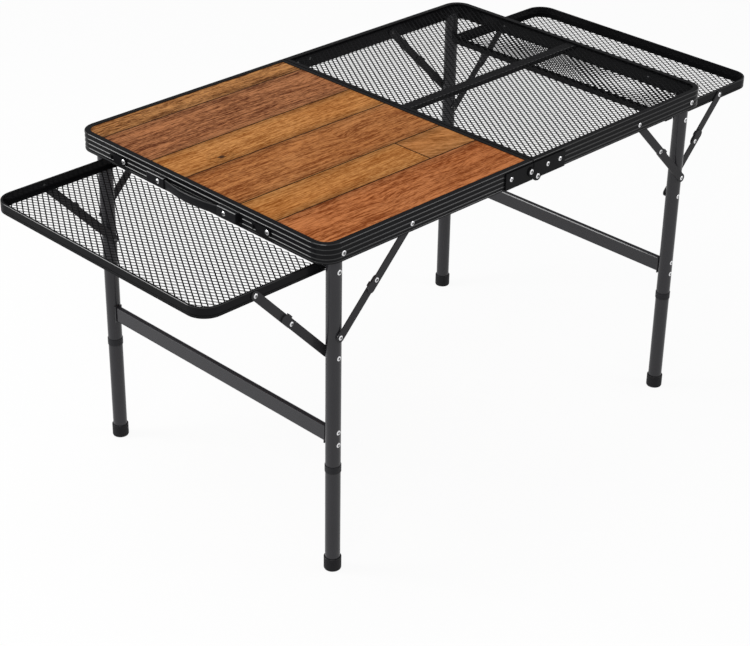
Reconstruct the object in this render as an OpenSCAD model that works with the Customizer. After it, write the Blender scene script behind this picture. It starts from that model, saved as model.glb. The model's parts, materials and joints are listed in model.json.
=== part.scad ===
// Folding camping table: a wood-look half and an expanded-mesh half on two
// folding leg frames, with a drop-down mesh shelf outside each end.
// X runs along the table, Y across it, Z up; the origin is on the floor under the seam.

/* [Table] */
// Height of the table top above the floor
table_h = 605; // [585:1:640]
// Width over the side rails
table_w = 600; // [560:1:640]
// Length of one half, from the seam to its end rail
half_l = 460; // [445:1:480]
// Gap between the two halves at the seam
seam_gap = 2; // [1.8:0.1:3]

/* [Rails] */
// Height of the extruded rail round each half
rail_h = 33; // [32:0.5:38]
// Distance from the rail's rib crests to its inner wall
rail_t = 2; // [1.6:0.1:3]
// Width of the lip over the edge of a deck
lip_w = 10; // [8:0.5:14]
// Width of the lip over a deck's edge at the seam
seam_lip_w = 7; // [6:0.5:12]
// Thickness of the lip and of the ledge under a deck
lip_t = 1.2; // [0.8:0.1:1.6]
// Outer radius of the rail's corners
corner_r = 32; // [24:1:45]
// How far the ribs stand out of the wall
rib_out = 0.8; // [0.4:0.1:1.2]

/* [Decks] */
// Thickness of the wood-look panel
deck_t = 4; // [3:0.5:4.5]
// Width of the grooves between planks
plank_groove = 1; // [0.6:0.1:2]
// Thickness of the expanded mesh
mesh_t = 1.5; // [1:0.1:2]
// Width of the strands in the mesh
strand_w = 3.2; // [2:0.1:5]
// Width of the stiffener under the mesh deck
stiffener_w = 20; // [14:1:30]
// Height of the stiffener under the mesh deck
stiffener_h = 9; // [6:0.5:10]

/* [Legs] */
// Outer diameter of a leg tube
leg_d = 25; // [22:0.5:25.5]
// Wall of a leg tube
leg_wall = 1.5; // [1:0.1:2]
// Distance from the end of a half to its legs' pivots
leg_inset = 38; // [36:1:50]
// Depth of the legs' pivots below the table top
leg_pivot_drop = 20; // [19.5:0.5:22]
// Height at which a leg ends and its extension begins
joint_z = 190; // [170:1:205]
// Length of the spigot that plugs into the leg
spigot_l = 45; // [30:1:50]
// How far the spigot is fixed down inside its extension
spigot_root = 30; // [20:1:40]
// Height of the collar at the leg's lower end
collar_h = 12; // [8:1:18]
// Height of a foot cap
foot_h = 24; // [18:1:32]
// Wall of a foot cap round the tube
foot_wall = 2; // [1.5:0.1:3]

/* [Crossbars] */
// Height of a crossbar's middle above the floor
crossbar_z = 254; // [244:1:262]
// Depth of a crossbar
crossbar_h = 28; // [26:0.5:32]
// Thickness of a crossbar
crossbar_t = 10; // [9:0.5:14]

/* [Braces] */
// Width of a brace strap
strap_w = 15; // [12:0.5:16]
// Thickness of a brace strap
strap_t = 2; // [1.5:0.1:2.2]
// Distance along the rail from the leg pivot to the brace anchor
brace_on_rail = 145; // [135:1:147]
// Distance down the leg from its pivot to the brace pivot
brace_on_leg = 147; // [147:1:160]
// Distance along the shelf from its pivot to the brace anchor
brace_on_shelf = 140; // [130:1:148]
// Distance down the leg from the shelf pivot to the shelf brace's pivot
shelf_brace_on_leg = 149; // [148:1:165]
// How far the outer strap runs on past the knee
strap_tail = 16; // [16:1:20]

/* [Shelves] */
// Distance from the legs' line to a shelf's outer end
shelf_reach = 240; // [200:1:250]
// Depth of the shelf pivots below the table top
shelf_pivot_drop = 56; // [54:0.5:60]
// Height of the rail round a shelf
shelf_rail_h = 18; // [16:0.5:20]
// Wall of the rail round a shelf
shelf_rail_t = 2; // [1.5:0.1:3]
// Outer radius of a shelf's corners
shelf_corner_r = 34; // [24:1:45]
// Width of the ledge under a shelf's mesh
shelf_ledge = 10; // [8:0.5:14]
// Width of the rail across a shelf's inner end
inner_rail_w = 12; // [8:0.5:14]
// How far a shelf reaches inward past its pivots
shelf_tail = 14; // [11:0.5:16]

/* [Hinges] */
// Distance of the wood half's hinge pin from the seam
pin_wood_x = 7; // [7:0.5:9]
// Depth of the wood half's hinge pin below the table top
pin_wood_drop = 17; // [15:0.5:19]
// Distance of the mesh half's hinge pin from the seam
pin_mesh_x = 9; // [9:0.5:11]
// Depth of the mesh half's hinge pin below the table top
pin_mesh_drop = 29; // [28:0.5:29]
// Length of the wood half's hinge plates from the seam
wood_plate_l = 66; // [60:1:90]
// Length of the mesh half's hinge plates from the seam
mesh_plate_l = 78; // [74:1:90]
// Thickness of the hinge plates and links
plate_t = 2; // [1.5:0.1:2.5]
// Radius of a link's ends
link_r = 7.5; // [6:0.5:8]

/* [Handle and latches] */
// Distance of the handle's rivets from the middle of the end rail
handle_rivet_y = 80; // [70:1:95]
// Height of the handle's strap
handle_strap_w = 15; // [12:0.5:18]
// Thickness of the handle's strap
handle_strap_t = 3; // [2:0.5:4]
// How far the handle bows out of its blocks
handle_bow = 9; // [4:0.5:14]
// Distance of the latches from the middle of the end rail
latch_y = 174; // [150:1:200]
// Depth of the latch pivots below the table top
latch_drop = 18.5; // [16:0.5:19]
// Width of a latch plate
latch_w = 13; // [11:0.5:15]

/* [Leg clips] */
// Distance of the inner clips from the table's middle
clip_inner_y = 150; // [120:1:175]
// Distance of the outer clips from the table's middle
clip_outer_y = 205; // [190:1:230]
// Length of a clip along the tube that it holds
clip_w = 14; // [10:1:20]
// Wall of a clip
clip_t = 2; // [1.5:0.1:3]
// Gap between a clip and the tube that it holds
clip_gap = 0.4; // [0.2:0.1:0.8]
// Height of a clip's middle above the underside of its rail
clip_rise = 8.5; // [7:0.5:10]
// How far a clip's arms reach below its middle
clip_reach = 6; // [4:0.5:9]

/* [Rivets] */
// Radius of a rivet's head
head_r = 4; // [3:0.1:4.2]
// Height of a rivet's head
head_h = 1.2; // [0.8:0.1:1.2]
// Radius of a rivet's shank
shank_r = 2.2; // [1.8:0.1:2.3]
// Radius of a leg, shelf or hinge pivot's shank
pivot_r = 3; // [2.5:0.1:3.2]

/* [Hidden] */
$fn = 48;
fit = 0.05;
play = 0.3;
half_w = table_w / 2;
wall_y = half_w - rail_t;
plain_t = rail_t - rib_out;

leg_x = half_l - leg_inset;
leg_pivot_z = table_h - leg_pivot_drop;
leg_r = leg_d / 2;
bore_r = leg_r - leg_wall;
collar_r = leg_r + 0.9;
foot_r = leg_r + foot_wall;
foot_floor = 4;

// Layers between the side rail and the leg, from the outside in
brace_outer_y = wall_y - play - 1 - strap_t;
brace_inner_y = brace_outer_y - play - strap_t;
leg_y = brace_inner_y - play - head_h - 0.1 - leg_r;
// Layers between the leg and the shelf, from the outside in
shelf_outer_y = leg_y - leg_r - play - head_h - strap_t;
shelf_inner_y = shelf_outer_y - play - head_h - 0.1 - strap_t;
shelf_half_w = shelf_inner_y - play;
shelf_wall_y = shelf_half_w - shelf_rail_t;

shelf_pivot_z = table_h - shelf_pivot_drop;
shelf_end_x = leg_x + shelf_reach;
shelf_base_z = shelf_pivot_z - shelf_rail_h / 2;
shelf_inner_x = leg_x - shelf_tail + inner_rail_w;
shelf_inner_end = leg_x - shelf_tail;

// A folding brace is straight when open, and lies flat along both arms when folded
function brace_sum(near, far) = sqrt(near * near + far * far);
function near_link(near, far) = (brace_sum(near, far) - (far - near)) / 2;
function far_link(near, far) = brace_sum(near, far) - near_link(near, far);
leg_brace_near = near_link(brace_on_rail, brace_on_leg);
leg_brace_far = far_link(brace_on_rail, brace_on_leg);
leg_brace_angle = atan(brace_on_leg / brace_on_rail);
shelf_brace_near = near_link(brace_on_shelf, shelf_brace_on_leg);
shelf_brace_far = far_link(brace_on_shelf, shelf_brace_on_leg);
shelf_brace_angle = atan(shelf_brace_on_leg / brace_on_shelf);
anchor_x = leg_x - brace_on_rail;
shelf_anchor_x = leg_x + brace_on_shelf;

plate_y = half_w + plate_t;
link_y = plate_y + play;
pin_wood = [-pin_wood_x, table_h - pin_wood_drop];
pin_mesh = [pin_mesh_x, table_h - pin_mesh_drop];
link_len = norm(pin_mesh - pin_wood);
link_angle = atan2(pin_mesh[1] - pin_wood[1], pin_mesh[0] - pin_wood[0]);
plate_rivet_z = table_h - rail_h / 2;
wood_plate_rivets = [53];
mesh_plate_rivets = [36, 66];

handle_z = table_h - rail_h / 2 - 2;
block_l = 44;
block_h = 19;
block_t = 8;
block_inner_y = handle_rivet_y - 16;
latch_z = table_h - latch_drop;
latch_reach = 2 * (rail_h - latch_drop);
latch_x = half_l + play;

rib_drops = [10, 18, 26];
plank_edges = [-180.5, -98.4, 31.2, 117.7, 242.6];
joint_drop = lip_t;

frame_black = [0.09, 0.09, 0.1];
steel_black = [0.15, 0.15, 0.16];
rubber_black = [0.06, 0.06, 0.06];
mesh_black = [0.12, 0.12, 0.13];
wood_brown = [0.62, 0.34, 0.16];
zinc = [0.8, 0.8, 0.82];

// Placing and shared forms

module both_sides() {
    children();
    mirror([0, 1, 0]) children();
}

module right_end() {
    mirror([1, 0, 0]) children();
}

// A plate in the XZ plane, from y = -outer to y = -(outer - thick)
module side_plate(outer, thick) {
    translate([0, thick - outer, 0]) rotate([90, 0, 0]) linear_extrude(thick) children();
}

// A round bar along Y, from y = -outer to y = -inner
module side_pin(x, z, outer, inner, r) {
    translate([x, -inner, z]) rotate([90, 0, 0]) cylinder(r = r, h = outer - inner);
}

// A domed head standing on the face y = -face, towards -Y
module side_head(x, z, face, r = head_r, h = head_h) {
    ball = (r * r + h * h) / (2 * h);
    translate([x, -face, z]) rotate([90, 0, 0]) intersection() {
        translate([0, 0, h - ball]) sphere(r = ball);
        cylinder(r = 2 * r, h = h);
    }
}

// A rivet whose head stands on the face y = -face and whose shank reaches y = -inner
module side_rivet(x, z, face, inner, r = shank_r) {
    union() {
        side_head(x, z, face, r = max(head_r, r + 1.4));
        side_pin(x, z, face + 0.01, inner, r);
    }
}

// A rivet through an end rail, with its head towards -X
module end_rivet(y, z, face, inner, r = shank_r, head = head_r) {
    rotate([0, 0, -90]) side_rivet_at(-y, z, face, inner, r, head);
}

module side_rivet_at(x, z, face, inner, r, head) {
    union() {
        side_head(x, z, face, r = head);
        side_pin(x, z, face + 0.01, inner, r);
    }
}

module ring(outer_r, inner_r, h) {
    difference() {
        cylinder(r = outer_r, h = h);
        translate([0, 0, -1]) cylinder(r = inner_r, h = h + 2);
    }
}

// Rails: profile x is the distance from the rib crests, outwards; y is the height below the top

function rib(drop) = [
    [-rib_out, -drop + 1.5], [-0.35 * rib_out, -drop + 1], [0, -drop + 0.3],
    [0, -drop - 0.3], [-0.35 * rib_out, -drop - 1], [-rib_out, -drop - 1.5]
];
rib_points = [for (drop = rib_drops) each rib(drop)];

module rail_profile() {
    ledge = lip_t + deck_t + 0.1;
    polygon(concat(
        [[-lip_w, 0], [-0.9, 0], [-0.3, -0.3], [0, -0.9], [0, -3.4], [-rib_out, -4]],
        rib_points,
        [[-rib_out, 3 - rail_h], [0, 2.4 - rail_h], [0, 0.9 - rail_h], [-0.5, -rail_h], [-rail_t, -rail_h],
         [-rail_t, -ledge - lip_t], [-lip_w, -ledge - lip_t], [-lip_w, -ledge], [-rail_t, -ledge],
         [-rail_t, -lip_t], [-lip_w, -lip_t]]
    ));
}

// A U of rail round the outer end of the left half
module left_rail_loop() {
    straight = half_l - corner_r;
    across = half_w - corner_r;
    both_sides() {
        translate([-straight, half_w, table_h]) rotate([90, 0, 90])
            linear_extrude(straight - seam_gap / 2) rail_profile();
        translate([-straight, across, table_h]) rotate([0, 0, 90])
            rotate_extrude(angle = 90) translate([corner_r, 0]) rail_profile();
    }
    translate([-half_l, -across, table_h]) rotate([90, 0, 180])
        linear_extrude(2 * across) rail_profile();
}

// Holes for the leg pivots, brace anchors and hinge rivets in a half's side rails
module side_rail_holes(plate_rivets) {
    both_sides() {
        side_pin(-leg_x, leg_pivot_z, half_w + 1, wall_y - 1, pivot_r + fit);
        side_pin(-anchor_x, leg_pivot_z, half_w + 1, wall_y - 1, shank_r + fit);
        for (x = plate_rivets)
            side_pin(-x, plate_rivet_z, half_w + 1, wall_y - 1, shank_r + fit);
    }
}

module end_rail_holes(ys, z) {
    for (y = ys)
        rotate([0, 0, -90]) side_pin(-y, z, half_l + 1, half_l - rail_t - 1, shank_r + fit);
}

module wood_frame() {
    color(frame_black) difference() {
        left_rail_loop();
        side_rail_holes(wood_plate_rivets);
        both_sides() side_pin(pin_wood[0], pin_wood[1], half_w + 1, wall_y - 1, pivot_r + fit);
        end_rail_holes([-handle_rivet_y, handle_rivet_y], handle_z);
        end_rail_holes([-latch_y, latch_y], latch_z);
    }
}

module mesh_frame() {
    color(frame_black) difference() {
        right_end() left_rail_loop();
        right_end() side_rail_holes(mesh_plate_rivets);
        both_sides() side_pin(pin_mesh[0], pin_mesh[1], half_w + 1, wall_y - 1, pivot_r + fit);
        right_end() end_rail_holes([-latch_y, latch_y], latch_z);
    }
}

// The rail along the seam, between the side rails
module left_seam_rail() {
    face = seam_gap / 2;
    ledge = lip_t + deck_t + 0.1;
    inside = half_w - lip_w;
    color(frame_black) union() {
        translate([-face - rail_t, -inside, table_h - rail_h])
            cube([rail_t, 2 * inside, rail_h]);
        translate([-face - rail_t, -wall_y, table_h - rail_h])
            cube([rail_t, 2 * wall_y, rail_h - ledge - lip_t]);
        translate([-face - seam_lip_w, -inside, table_h - lip_t])
            cube([seam_lip_w, 2 * inside, lip_t]);
        translate([-face - seam_lip_w, -inside, table_h - ledge - lip_t])
            cube([seam_lip_w, 2 * inside, lip_t]);
    }
}

module wood_seam_rail() {
    left_seam_rail();
}

module mesh_seam_rail() {
    right_end() left_seam_rail();
}

// Decks

// Outline of a left half between x = -far and x = -near, with its far corners rounded
module half_outline(near, far, side, r) {
    union() {
        translate([-far + r, -side]) square([far - near - r, 2 * side]);
        translate([-far, -side + r]) square([far - near, 2 * (side - r)]);
        for (s = [-1, 1]) translate([-far + r, s * (side - r)]) circle(r = r);
    }
}

deck_near = seam_gap / 2 + rail_t + 0.2;
deck_far = half_l - rail_t - 0.2;
deck_side = wall_y - 0.2;
deck_corner = corner_r - rail_t - 0.2;

module wood_deck() {
    groove_d = 0.7;
    butt_x = -114;
    color(wood_brown) translate([0, 0, table_h - lip_t - deck_t]) difference() {
        linear_extrude(deck_t) half_outline(deck_near, deck_far, deck_side, deck_corner);
        for (y = plank_edges)
            translate([-half_l, y - plank_groove / 2, deck_t - groove_d])
                cube([half_l, plank_groove, 2]);
        translate([butt_x, plank_edges[0], deck_t - groove_d])
            cube([plank_groove, plank_edges[1] - plank_edges[0], 2]);
    }
}

// Diamond gaps of an expanded sheet, in staggered rows
module diamond_gaps(x0, x1, y0, y1, nx, ny) {
    w = (x1 - x0) / nx;
    h = (y1 - y0) / ny;
    gx = w / 2 - strand_w * 0.7;
    gy = h / 2 - strand_w * 0.7;
    for (i = [0:2 * nx - 2])
        for (j = [0:2 * ny - 2])
            if ((i + j) % 2 == 0)
                translate([x0 + (i + 1) * w / 2, y0 + (j + 1) * h / 2])
                    polygon([[-gx, 0], [0, -gy], [gx, 0], [0, gy]]);
}

module mesh_deck() {
    rim = lip_w - rail_t + 2;
    color(mesh_black) translate([0, 0, table_h - lip_t]) union() {
        translate([0, 0, -mesh_t]) right_end() linear_extrude(mesh_t) difference() {
            half_outline(deck_near, deck_far, deck_side, deck_corner);
            diamond_gaps(-deck_far + rim, -deck_near - rim, rim - deck_side, deck_side - rim, 10, 12);
        }
        translate([0, 0, -deck_t - 0.1]) right_end() linear_extrude(deck_t) difference() {
            half_outline(deck_near, deck_far, deck_side, deck_corner);
            half_outline(deck_near + 6, deck_far - 6, deck_side - 6, deck_corner - 6);
        }
    }
}

module mesh_stiffener() {
    near = seam_gap / 2 + lip_w + 0.3;
    far = half_l - lip_w - 0.3;
    z = table_h - lip_t - mesh_t - stiffener_h;
    color(frame_black) difference() {
        translate([near, -stiffener_w / 2, z]) cube([far - near, stiffener_w, stiffener_h]);
        translate([near - 1, -stiffener_w / 2 + 1.5, z - 1])
            cube([far - near + 2, stiffener_w - 3, stiffener_h - 0.5]);
    }
}

// Centre hinges

module wood_plate_outline() {
    difference() {
        translate([-wood_plate_l, table_h - rail_h]) square([wood_plate_l - seam_gap / 2, rail_h - 4]);
        translate(pin_mesh) circle(r = link_r + 3.2);
        for (x = wood_plate_rivets) translate([-x, plate_rivet_z]) circle(r = shank_r + fit);
        translate(pin_wood) circle(r = pivot_r + fit);
    }
}

module mesh_plate_outline() {
    difference() {
        union() {
            translate([seam_gap / 2, table_h - rail_h]) square([mesh_plate_l - seam_gap / 2, rail_h - 4]);
            translate(pin_mesh) circle(r = link_r + 1);
        }
        for (x = mesh_plate_rivets) translate([x, plate_rivet_z]) circle(r = shank_r + fit);
        translate(pin_mesh) circle(r = pivot_r + fit);
    }
}

module wood_hinge_plates() {
    color(steel_black) both_sides() side_plate(plate_y, plate_t) wood_plate_outline();
}

module mesh_hinge_plates() {
    color(steel_black) both_sides() side_plate(plate_y, plate_t) mesh_plate_outline();
}

// A strap outline along X from the first pivot to the second
module strap_outline(len, w, hole_a, hole_b) {
    difference() {
        union() {
            circle(d = w);
            translate([len, 0]) circle(d = w);
            translate([0, -w / 2]) square([len, w]);
        }
        circle(r = hole_a + fit);
        translate([len, 0]) circle(r = hole_b + fit);
    }
}

module hinge_links() {
    color(steel_black) both_sides() side_plate(link_y + plate_t, plate_t)
        translate(pin_wood) rotate(link_angle)
            strap_outline(link_len, 2 * link_r, pivot_r, pivot_r);
}

module hinge_pins() {
    color(zinc) both_sides() for (p = [pin_wood, pin_mesh]) union() {
        side_rivet(p[0], p[1], link_y + plate_t, wall_y - 0.2, pivot_r);
        side_pin(p[0], p[1], wall_y - 0.2, wall_y - 1.2, pivot_r + 0.8);
    }
}

// Rivets that hold fittings to the frames

module plate_rivets(xs) {
    both_sides() for (x = xs) side_rivet(x, plate_rivet_z, plate_y, wall_y);
}

module wood_frame_rivets() {
    color(zinc) {
        plate_rivets([for (x = wood_plate_rivets) -x]);
        for (s = [-1, 1]) {
            end_rivet(s * handle_rivet_y, handle_z, half_l + block_t, half_l - rail_t);
            end_rivet(s * latch_y, latch_z, latch_x + plate_t + 0.1, half_l - rail_t, shank_r, head_r + 0.4);
        }
    }
}

module mesh_frame_rivets() {
    color(zinc) plate_rivets(mesh_plate_rivets);
}

// Studs on the mesh half's end rail, which the latches hook when the table is shut
module latch_studs() {
    color(zinc) right_end() for (s = [-1, 1])
        end_rivet(s * latch_y, latch_z, latch_x + plate_t + 0.6, half_l - rail_t, shank_r, head_r + 0.4);
}

module latch(y) {
    slot_r = shank_r + 0.6;
    color(steel_black) translate([-latch_x - plate_t, y, latch_z]) rotate([90, 0, 90])
        linear_extrude(plate_t) difference() {
            union() {
                circle(d = latch_w);
                translate([0, -latch_w / 2]) square([latch_reach, latch_w]);
                translate([latch_reach, 0]) circle(d = latch_w);
            }
            circle(r = shank_r + fit);
            translate([latch_reach, 0]) circle(r = slot_r);
            translate([latch_reach - slot_r, -latch_w]) square([2 * slot_r, latch_w]);
        }
}

module latch_front() {
    latch(-latch_y);
}

module latch_back() {
    latch(latch_y);
}

// Handle on the wood half's end rail

module handle_blocks() {
    pocket_h = handle_strap_w + 0.6;
    color(rubber_black) both_sides() difference() {
        translate([-half_l - block_t, block_inner_y, handle_z - block_h / 2])
            cube([block_t, block_l, block_h]);
        translate([-half_l - block_t + 1.6, block_inner_y - 1, handle_z - pocket_h / 2])
            cube([handle_strap_t + 1.4, 9, pocket_h]);
        translate([-half_l - block_t, block_inner_y + block_l - 5, handle_z - block_h])
            rotate([0, 0, 45]) translate([-6, 0, 0]) cube([6, 12, 2 * block_h]);
        rotate([0, 0, -90]) side_pin(-handle_rivet_y, handle_z, half_l + block_t + 1, half_l - 1, shank_r + fit);
    }
}

module handle_strap() {
    chord = block_inner_y + 4;
    r = (chord * chord + handle_bow * handle_bow) / (2 * handle_bow);
    face = half_l + block_t - 2.6 - handle_strap_t / 2;
    half_angle = asin(chord / r);
    color(rubber_black) translate([r - handle_bow - face, 0, handle_z - handle_strap_w / 2])
        rotate([0, 0, 180 - half_angle]) rotate_extrude(angle = 2 * half_angle, $fn = 180)
            translate([r - handle_strap_t / 2, 0]) square([handle_strap_t, handle_strap_w]);
}

// Clips under the wood half's seam rail, which hold the leg extensions when they are off
module leg_clips() {
    clip_r = leg_r + clip_gap;
    cut_r = clip_r + clip_t + 1;
    back_x = seam_gap / 2 + rail_t;
    color(rubber_black) for (s = [-1, 1]) for (y = [clip_inner_y, clip_outer_y])
        translate([-back_x - clip_w, s * y, table_h - rail_h + clip_rise]) rotate([90, 0, 90])
            linear_extrude(clip_w) difference() {
                circle(r = clip_r + clip_t);
                circle(r = clip_r);
                translate([-cut_r, -cut_r]) square([2 * cut_r, cut_r - clip_reach]);
            }
}

// Legs

module left_legs() {
    both_sides() difference() {
        translate([-leg_x, -leg_y, joint_z]) cylinder(r = leg_r, h = leg_pivot_z + leg_r - joint_z);
        translate([-leg_x, -leg_y, joint_z - 1])
            cylinder(r = bore_r, h = leg_pivot_z + leg_r - joint_z + 2);
        // the top of the tube is rounded about its pivot
        difference() {
            translate([-leg_x - leg_r - 1, -leg_y - leg_r - 1, leg_pivot_z])
                cube([leg_d + 2, leg_d + 2, leg_r + 2]);
            side_pin(-leg_x, leg_pivot_z, leg_y + leg_d, leg_y - leg_d, leg_r);
        }
        side_pin(-leg_x, leg_pivot_z, leg_y + leg_d, leg_y - leg_d, pivot_r + fit);
        side_pin(-leg_x, shelf_pivot_z, leg_y + leg_d, leg_y - leg_d, pivot_r + fit);
        side_pin(-leg_x, leg_pivot_z - brace_on_leg, leg_y + leg_d, leg_y, shank_r + fit);
        side_pin(-leg_x, shelf_pivot_z - shelf_brace_on_leg, leg_y + leg_d, leg_y - leg_d, shank_r + fit);
        for (dz = crossbar_rivets)
            side_pin(-leg_x, crossbar_z + dz, leg_y + leg_d, leg_y - leg_d, shank_r + fit);
    }
}

crossbar_rivets = [-11.5, 11.5];

module left_leg_tubes() {
    color(steel_black) left_legs();
}

module right_leg_tubes() {
    color(steel_black) right_end() left_legs();
}

// A flat tube with an end plate against each leg
module crossbar() {
    wall = 1.3;
    plate = 2;
    end_y = leg_y - leg_r - 0.2;
    bar_y = end_y - plate;
    difference() {
        union() {
            translate([-leg_x - crossbar_t / 2, -bar_y, crossbar_z - crossbar_h / 2])
                cube([crossbar_t, 2 * bar_y, crossbar_h]);
            both_sides() translate([-leg_x - crossbar_t / 2 - 2, -end_y, crossbar_z - crossbar_h / 2 - 2])
                cube([crossbar_t + 4, plate, crossbar_h + 4]);
        }
        translate([-leg_x - crossbar_t / 2 + wall, -bar_y, crossbar_z - crossbar_h / 2 + wall])
            cube([crossbar_t - 2 * wall, 2 * bar_y, crossbar_h - 2 * wall]);
        both_sides() for (dz = crossbar_rivets)
            side_pin(-leg_x, crossbar_z + dz, end_y + 1, bar_y - 1, shank_r + fit);
    }
}

module left_crossbar() {
    color(steel_black) crossbar();
}

module right_crossbar() {
    color(steel_black) right_end() crossbar();
}

module leg_collars() {
    both_sides() translate([-leg_x, -leg_y, joint_z]) ring(collar_r, leg_r + fit, collar_h);
}

module left_leg_collars() {
    color(rubber_black) leg_collars();
}

module right_leg_collars() {
    color(rubber_black) right_end() leg_collars();
}

// Rivets and pivots carried by a pair of legs
module leg_rivets() {
    outer = leg_y + leg_r;
    inner = leg_y - leg_r;
    collar = shank_r + 2;
    both_sides() {
        // brace pivot: a collar holds the strap off the leg
        union() {
            side_rivet(-leg_x, leg_pivot_z - brace_on_leg, brace_inner_y + strap_t, leg_y + bore_r - 1);
            side_pin(-leg_x, leg_pivot_z - brace_on_leg, brace_inner_y - play, outer + fit, collar);
        }
        // shelf pivot: right through the leg, with a collar against the shelf's rail
        union() {
            side_rivet(-leg_x, shelf_pivot_z, outer, shelf_wall_y - 0.2, pivot_r);
            side_pin(-leg_x, shelf_pivot_z, inner - fit, shelf_half_w + play, pivot_r + 2);
            side_pin(-leg_x, shelf_pivot_z, shelf_wall_y - 0.2, shelf_wall_y - 1.2, pivot_r + 1);
        }
        // shelf brace pivot: right through the leg, with its tail over the strap
        union() {
            side_rivet(-leg_x, shelf_pivot_z - shelf_brace_on_leg, outer, shelf_outer_y - 0.2);
            side_pin(-leg_x, shelf_pivot_z - shelf_brace_on_leg, inner - fit, shelf_outer_y + strap_t + play, collar);
            side_pin(-leg_x, shelf_pivot_z - shelf_brace_on_leg, shelf_outer_y - 0.2, shelf_outer_y - 1.2, collar - 0.6);
        }
        for (dz = crossbar_rivets)
            side_rivet(-leg_x, crossbar_z + dz, outer, inner - 3);
    }
}

module left_leg_rivets() {
    color(zinc) leg_rivets();
}

module right_leg_rivets() {
    color(zinc) right_end() leg_rivets();
}

// Pivots that hold a pair of legs in the side rails
module leg_pivots() {
    spacer_r = pivot_r + 3;
    both_sides() union() {
        side_rivet(-leg_x, leg_pivot_z, half_w, leg_y - leg_r - 0.2, pivot_r);
        side_pin(-leg_x, leg_pivot_z, wall_y, leg_y + leg_r + play, spacer_r);
        side_pin(-leg_x, leg_pivot_z, leg_y - leg_r - 0.2, leg_y - leg_r - 1.2, pivot_r + 1);
    }
}

module left_leg_pivots() {
    color(zinc) leg_pivots();
}

module right_leg_pivots() {
    color(zinc) right_end() leg_pivots();
}

// Rivets that hold a pair of braces to the side rails
module brace_anchors() {
    both_sides() union() {
        side_rivet(-anchor_x, leg_pivot_z, half_w, brace_outer_y);
        side_pin(-anchor_x, leg_pivot_z, wall_y, brace_outer_y + strap_t + play, shank_r + 2.4);
    }
}

module left_brace_anchors() {
    color(zinc) brace_anchors();
}

module right_brace_anchors() {
    color(zinc) right_end() brace_anchors();
}

// Leg extensions and feet, for the left front leg

module extension() {
    foot_seat = foot_floor + fit;
    translate([-leg_x, -leg_y, 0]) difference() {
        union() {
            translate([0, 0, foot_seat]) cylinder(r = leg_r, h = joint_z - 0.2 - foot_seat);
            translate([0, 0, joint_z - spigot_root]) cylinder(r = bore_r - play, h = spigot_root + spigot_l);
        }
        translate([0, 0, foot_seat - 1]) cylinder(r = bore_r, h = joint_z - spigot_root - foot_seat);
        translate([0, 0, joint_z - spigot_root - 10])
            cylinder(r = bore_r - play - leg_wall, h = spigot_root + spigot_l + 30);
    }
}

module foot() {
    edge = 2.5;
    translate([-leg_x, -leg_y, 0]) difference() {
        rotate_extrude() polygon([[0, 0], [foot_r - edge, 0], [foot_r - edge * 0.3, edge * 0.3],
                                  [foot_r, edge], [foot_r, foot_h - 0.8], [foot_r - 0.6, foot_h], [0, foot_h]]);
        translate([0, 0, foot_floor]) cylinder(r = leg_r + fit, h = foot_h);
    }
}

module front_left_extension() {
    color(steel_black) extension();
}

module back_left_extension() {
    color(steel_black) mirror([0, 1, 0]) extension();
}

module front_right_extension() {
    color(steel_black) right_end() extension();
}

module back_right_extension() {
    color(steel_black) right_end() mirror([0, 1, 0]) extension();
}

module front_left_foot() {
    color(rubber_black) foot();
}

module back_left_foot() {
    color(rubber_black) mirror([0, 1, 0]) foot();
}

module front_right_foot() {
    color(rubber_black) right_end() foot();
}

module back_right_foot() {
    color(rubber_black) right_end() mirror([0, 1, 0]) foot();
}

// Braces: an outer strap runs on past the knee, and its lip stops the brace when it is straight

lip_len = 8;
lip_gap = 0.4;
lip_w_out = 2;

// The outer strap starts at its own pivot; side is 1 or -1, the side of the lip
module outer_strap(len, side, face, reach) {
    tab_x = len + strap_tail - lip_len;
    edge = strap_w / 2 + lip_gap;
    tab_z = side < 0 ? -edge - lip_w_out : 0;
    union() {
        side_plate(face, strap_t) difference() {
            union() {
                circle(d = strap_w);
                translate([0, -strap_w / 2]) square([len + strap_tail, strap_w]);
                translate([len + strap_tail, 0]) circle(d = strap_w);
                translate([tab_x, tab_z]) square([lip_len, edge + lip_w_out]);
            }
            circle(r = shank_r + fit);
            translate([len, 0]) circle(r = shank_r + fit);
        }
        translate([tab_x, -face, side < 0 ? tab_z : edge]) cube([lip_len, reach, lip_w_out]);
    }
}

module inner_strap(len, face) {
    side_plate(face, strap_t) strap_outline(len, strap_w, shank_r, shank_r);
}

module leg_brace_outer() {
    both_sides() translate([-anchor_x, 0, leg_pivot_z]) rotate([0, -180 - leg_brace_angle, 0])
        outer_strap(leg_brace_near, -1, brace_outer_y + strap_t, 2 * strap_t + play);
}

module leg_brace_inner() {
    both_sides() translate([-leg_x, 0, leg_pivot_z - brace_on_leg]) rotate([0, -leg_brace_angle, 0])
        inner_strap(leg_brace_far, brace_inner_y + strap_t);
}

module leg_knee_rivets() {
    knee_x = anchor_x + leg_brace_near * cos(leg_brace_angle);
    knee_z = leg_pivot_z - leg_brace_near * sin(leg_brace_angle);
    both_sides() union() {
        side_head(-knee_x, knee_z, brace_outer_y + strap_t, h = 1);
        side_pin(-knee_x, knee_z, brace_outer_y + strap_t + 0.01, brace_outer_y, shank_r);
    }
}

module shelf_brace_outer() {
    both_sides() translate([-leg_x, 0, shelf_pivot_z - shelf_brace_on_leg])
        rotate([0, shelf_brace_angle - 180, 0])
            outer_strap(shelf_brace_far, -1, shelf_outer_y + strap_t, shelf_outer_y - shelf_inner_y + strap_t);
}

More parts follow.
